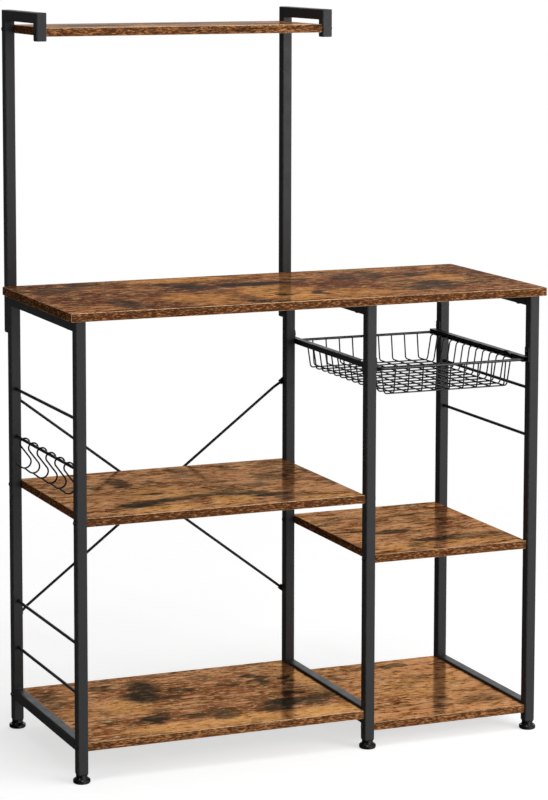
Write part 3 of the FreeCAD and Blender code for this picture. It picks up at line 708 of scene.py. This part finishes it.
# %% Beads in the inner corners of the tubes
tube_side = 19.0
bead_size, bead_ripple, bead_steps, bead_margin = 1.7, 1.9, 30, 5.0
tip_share, growth_per_step = 0.35, 0.22
valley_share, ripple_share = 0.82, 0.18
bead_section = [(-0.12, -0.12), (1.0, -0.12), (0.82, 0.5), (0.5, 0.82), (-0.12, 1.0)]
top_bar_under, arm_under, upright_front, drop_leg_back = 779.0, 1289.0, 181.0, 20.0
bottom_bar_under = {"left": 55.0, "middle": 55.0, "right": 31.0}
corners = []
for side, x in frame_x.items():
    bar_low = bottom_bar_under[side]
    for face_y, way in leg_faces:
        corners += [(x, face_y, top_bar_under, way, -1.0), (x, face_y, bar_low, way, -1.0),
                    (x, face_y, bar_low + tube_side, way, 1.0)]
for side in ("left", "middle"):
    corners += [(frame_x[side], upright_front, arm_under, -1.0, -1.0),
                (frame_x[side], drop_leg_back, arm_under, 1.0, -1.0)]
build = bmesh.new()
for x, y, z, way_y, way_z in corners:
    sections = []
    for step in range(bead_steps + 1):
        along = (step / bead_steps - 0.5) * (tube_side - bead_margin)
        taper = min(1.0, tip_share + growth_per_step * min(step, bead_steps - step))
        ripple = valley_share + ripple_share * abs(math.sin(math.pi * along / bead_ripple))
        size = bead_size * taper * ripple
        sections.append([build.verts.new(mm(x + along, y + way_y * size * out, z + way_z * size * up))
                         for out, up in bead_section])
    close_rings(build, sections)
new_piece("tube_corner_welds", build, tube_coat, "frame")

# %% [markdown]
# ## Weld dots in the basket
#
# The basket's wires are spot-welded where they cross, and each spot leaves a flat drop of metal between the
# two wires. The drops are tiny, so a slightly flattened ball with few faces is enough for each, and all of
# them share one mesh that slides with the basket.

# %% Dots where the basket wires cross
cross_z, long_z = 633.5, 636.15
first_long_x, last_long_x, long_count = 160.2, 378.8, 9
first_cross_y, last_cross_y, cross_count = -163.65, 157.45, 13
dot_radius, dot_flatness = 0.0016, 0.8
build = bmesh.new()
for i in range(long_count):
    for j in range(cross_count):
        x = first_long_x + (last_long_x - first_long_x) * i / (long_count - 1)
        y = first_cross_y + (last_cross_y - first_cross_y) * j / (cross_count - 1)
        spot = Matrix.Translation(mm(x, y, (cross_z + long_z) / 2))
        dot = spot @ Matrix.Diagonal((1.0, 1.0, dot_flatness, 1.0))
        bmesh.ops.create_uvsphere(build, u_segments=10, v_segments=6, radius=dot_radius, matrix=dot)
new_piece("basket_wire_welds", build, basket_coat, "basket")

# %% [markdown]
# ## Domed tips on the S-hooks
#
# The hooks are cut from wire, and their ends are tumbled round so that they don't scratch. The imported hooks
# end flat. A dome of a few rings on each end rounds them off, set in the hook's own slanted plane, because
# a hook hangs a few degrees out of plumb, with its weight under the rail.

# %% Tips of the hooks
hook_wire_radius = 1.5
hook_lean = math.radians(-6.37)
upper_radius, lower_radius, tip_straight = 8.8, 11.5, 11.5
upper_angle, lower_angle = math.radians(10.0), math.radians(-135.0)
lower_centre = Vector((-3.9, 0.0, -33.5))
hooks_middle_y, hook_spacing, hook_bend_z = -7.0, 48.5, 537.25
upper_tip = Vector((upper_radius * math.cos(upper_angle), 0.0, upper_radius * math.sin(upper_angle)))
upper_way = Vector((math.sin(upper_angle), 0.0, -math.cos(upper_angle)))
lower_way = Vector((math.cos(lower_angle - math.pi / 2), 0.0, math.sin(lower_angle - math.pi / 2)))
lower_tip = (lower_centre + lower_radius * Vector((math.cos(lower_angle), 0.0, math.sin(lower_angle)))
             + tip_straight * lower_way)
plumb = Matrix.Rotation(hook_lean, 3, "Y")
across = Vector((0.0, 1.0, 0.0))
dome_sides, dome_rings = 14, 5
turns = [math.tau * s / dome_sides for s in range(dome_sides)]


def dome(build, base, out):
    """A rounded end on a wire at a point, bulging along the way out; both in millimetres."""
    side = out.cross(across)
    rings = []
    for ring in range(dome_rings):
        lift = math.pi / 2 * ring / dome_rings
        reach, rise = hook_wire_radius * math.cos(lift), hook_wire_radius * math.sin(lift)
        middle = base + out * rise
        rings.append([build.verts.new((middle + (across * math.cos(t) + side * math.sin(t)) * reach)
                                      / mm_per_metre) for t in turns])
    close_rings(build, rings)


for k, hook in enumerate(sorted(hook_nodes)):
    hook_y = hooks_middle_y + (k - (len(hook_nodes) - 1) / 2) * hook_spacing
    hook_centre = Vector((frame_x["left"], hook_y, hook_bend_z))
    build = bmesh.new()
    for tip, way in ((upper_tip, upper_way), (lower_tip, lower_way)):
        dome(build, hook_centre + plumb @ tip, plumb @ way)
    new_piece(hook + "_tips", build, hook_coat, hook)

# %% [markdown]
# ## The floor
#
# The rack stands on plain white in the picture, with hardly a shadow. A bare backdrop would leave it
# floating, so it stands on a pale disc that keeps its soft shadow and fades out before its rim. The floor
# adds a little glow that only the camera sees, which brings it to white without more light on the rack.


# %% Floor
def pale_floor(radius, rings=24, spokes=96):
    """A disc of rings and spokes for the stage; it isn't part of the rack."""
    mesh = bpy.data.meshes.new("studio_floor")
    build = bmesh.new()
    middle = build.verts.new((0.0, 0.0, 0.0))
    previous = None
    for ring in range(1, rings + 1):
        reach = radius * ring / rings
        angles = [math.tau * k / spokes for k in range(spokes)]
        circle = [build.verts.new((reach * math.cos(a), reach * math.sin(a), 0.0)) for a in angles]
        for k in range(spokes):
            after = (k + 1) % spokes
            if previous is None:
                build.faces.new((middle, circle[k], circle[after]))
            else:
                build.faces.new((previous[k], circle[k], circle[after], previous[after]))
        previous = circle
    build.to_mesh(mesh)
    build.free()
    floor = bpy.data.objects.new("studio_floor", mesh)
    bpy.context.collection.objects.link(floor)
    return floor


floor_radius = 2.4
floor = pale_floor(floor_radius)
floor.visible_glossy = False
floor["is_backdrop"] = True
print("floor radius", floor_radius)

# %% [markdown]
# ## The floor's paint
#
# The disc is matt grey-white with a faint mottle. Its fading rim is a mix with a transparent shader, driven
# by the distance from the middle; a hard rim or a gradient in the colour would show as a line.

# %% Paint on the floor
white, black = (1.0, 1.0, 1.0, 1.0), (0.0, 0.0, 0.0, 1.0)
camera_glow = 0.64
fade_start, fade_end = floor_radius * 0.45, floor_radius * 0.98
material, tree, shader = start_finish("studio_floor_paint")
place, _ = rest_place(tree)
mottle = cloud(tree, place, scale=6.0, detail=4.0)
feed(tree, shader.inputs["Base Color"], tint(tree, mottle, linear(196, 196, 196), linear(202, 202, 202)))
shader.inputs["Roughness"].default_value = 0.9
shader.inputs["Specular IOR Level"].default_value = 0.0
seen = put(tree, "ShaderNodeLightPath", {}).outputs["Is Camera Ray"]
strength = calc(tree, "MULTIPLY", seen, camera_glow)
glow = put(tree, "ShaderNodeEmission", {"Color": white, "Strength": strength})
lit = put(tree, "ShaderNodeAddShader", {0: shader.outputs[0], 1: glow.outputs[0]})
reach = put(tree, "ShaderNodeVectorMath", {0: place}, operation="LENGTH").outputs["Value"]
fade = soften(tree, reach, fade_start, fade_end)
clear = put(tree, "ShaderNodeBsdfTransparent", {})
blend = put(tree, "ShaderNodeMixShader", {0: fade, 1: lit.outputs[0], 2: clear.outputs[0]})
output = next(node for node in tree.nodes if node.type == "OUTPUT_MATERIAL")
tree.links.new(blend.outputs[0], output.inputs["Surface"])
floor.data.materials.append(material)
print("floor fades out from", round(fade_start, 2), "to", round(fade_end, 2), "m")

# %% [markdown]
# ## The room
#
# The rack is lit softly from the front right, and the left sides of its tubes are almost black. A photo of a
# studio as a backdrop would need a file, so the world's light is painted with smooth directions: bright
# towards the front right and dim on the left. What the varnish and the paint mirror is set apart: a white
# backdrop behind at the right, a panel in front at the right and a dim one behind at the left.

# %% Room light
world = bpy.data.worlds.new("studio_room")
bpy.context.scene.world = world
world.use_nodes = True
tree = world.node_tree
tree.nodes.clear()
way = put(tree, "ShaderNodeTexCoord", {}).outputs["Generated"]


def panel(towards, rim, core, dark, bright):
    """A soft round panel of light in one direction, from its rim to its core."""
    near = put(tree, "ShaderNodeVectorMath", {0: way, 1: towards}, operation="DOT_PRODUCT").outputs["Value"]
    return soften(tree, near, rim, core, dark, bright)


room = panel((0.85, -0.35, 0.40), rim=-0.35, core=0.85, dark=0.01, bright=0.9)
backdrop = panel((0.50, 0.74, 0.45), rim=0.76, core=0.99, dark=0.0, bright=1.0)
front_panel = panel((0.42, -0.89, -0.15), rim=0.80, core=0.98, dark=0.0, bright=0.85)
dim_panel = panel((-0.42, 0.90, 0.10), rim=0.80, core=0.97, dark=0.0, bright=0.09)
room_in_mirrors = 0.35
light_path = put(tree, "ShaderNodeLightPath", {})
glossy = light_path.outputs["Is Glossy Ray"]
seen = calc(tree, "MAXIMUM", light_path.outputs["Is Camera Ray"], light_path.outputs["Is Transmission Ray"])
panels = calc(tree, "MAXIMUM", calc(tree, "MAXIMUM", backdrop, front_panel), dim_panel)
whitened = calc(tree, "MAXIMUM", seen, calc(tree, "MULTIPLY", glossy, panels))
room = calc(tree, "MULTIPLY", room, soften(tree, glossy, 0.0, 1.0, 1.0, room_in_mirrors))
glow = tint(tree, whitened, tint(tree, room, black, white), white)
sky = put(tree, "ShaderNodeBackground", {"Color": glow, "Strength": 1.0})
put(tree, "ShaderNodeOutputWorld", {"Surface": sky.outputs[0]})
print("room light has", len(tree.nodes), "nodes")

# %% [markdown]
# ## The lamps
#
# Four soft lamps shape the rack. A box at the front right lights the front faces; it stays out of mirrors,
# because its bright reflection would burn out the lower boards in a view from behind. A tall strip beside
# it lights the rack from further off. A narrow lamp above lights the tops, and a thin strip at the left
# draws the lit line along the tube corners. Bare point lamps would give hard shadows.


# %% Lamps
def soft_lamp(name, place, aim, width, height, watts, mirrored=True):
    """A rectangle of light at a place, turned towards the point that it aims at."""
    lamp = bpy.data.lights.new(name, "AREA")
    lamp.shape = "RECTANGLE"
    lamp.size, lamp.size_y = width, height
    lamp.energy = watts
    holder = bpy.data.objects.new(name, lamp)
    bpy.context.collection.objects.link(holder)
    holder.location = place
    holder.rotation_euler = (Vector(aim) - Vector(place)).to_track_quat("-Z", "Y").to_euler()
    holder.visible_camera = False
    holder.visible_glossy = mirrored
    print(name, "at", place, watts, "W")


soft_lamp("front_box", place=(1.65, -1.95, 0.7), aim=(0.15, 0.0, 0.55), width=1.0, height=1.2, watts=21.0,
          mirrored=False)
soft_lamp("front_strip", place=(1.6, -2.9, 1.5), aim=(0.2, 0.0, 0.7), width=0.3, height=2.0, watts=16.0)
soft_lamp("top_box", place=(0.3, -0.8, 3.2), aim=(0.0, 0.0, 0.6), width=2.2, height=0.4, watts=14.0)
soft_lamp("left_strip", place=(-2.5, -1.1, 1.1), aim=(-0.3, 0.0, 0.7), width=0.12, height=2.2, watts=8.0)

# %% [markdown]
# ## The camera
#
# The camera stands to the left of the rack's middle and above the counter, some five metres away, with a
# long lens, as in the photo. Upright lines that stay exactly parallel would need a level camera and a large
# shift of the frame. Here it is pitched down a little and shifted a little, so that other views keep the
# rack in the frame too.

# %% Camera at the photo's angle
lens_mm, sensor_mm = 123.946, 36.0
camera_place = (-1.9293, -4.51655, 1.45515)
camera_yaw, camera_pitch = 22.1397, 6.6557
camera_shift = (0.0621, -0.19)
camera_data = bpy.data.cameras.new("photo_camera")
camera_data.lens = lens_mm
camera_data.sensor_width = sensor_mm
camera_data.shift_x, camera_data.shift_y = camera_shift
camera = bpy.data.objects.new("photo_camera", camera_data)
bpy.context.collection.objects.link(camera)
camera.location = camera_place
camera.rotation_euler = (math.radians(90.0 - camera_pitch), 0.0, math.radians(-camera_yaw))
bpy.context.scene.camera = camera
bpy.context.scene.view_settings.view_transform = "Standard"
print("camera", camera_place, "lens", lens_mm)

# %% [markdown]
# ## Sizes, and the end
#
# Welds, threads and tips must not make the rack larger than the imported model. The last line prints the
# size of the dressed rack.

# %% Sizes, and the end of the script
low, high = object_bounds()
print("visual size", [round(v, 4) for v in high - low])
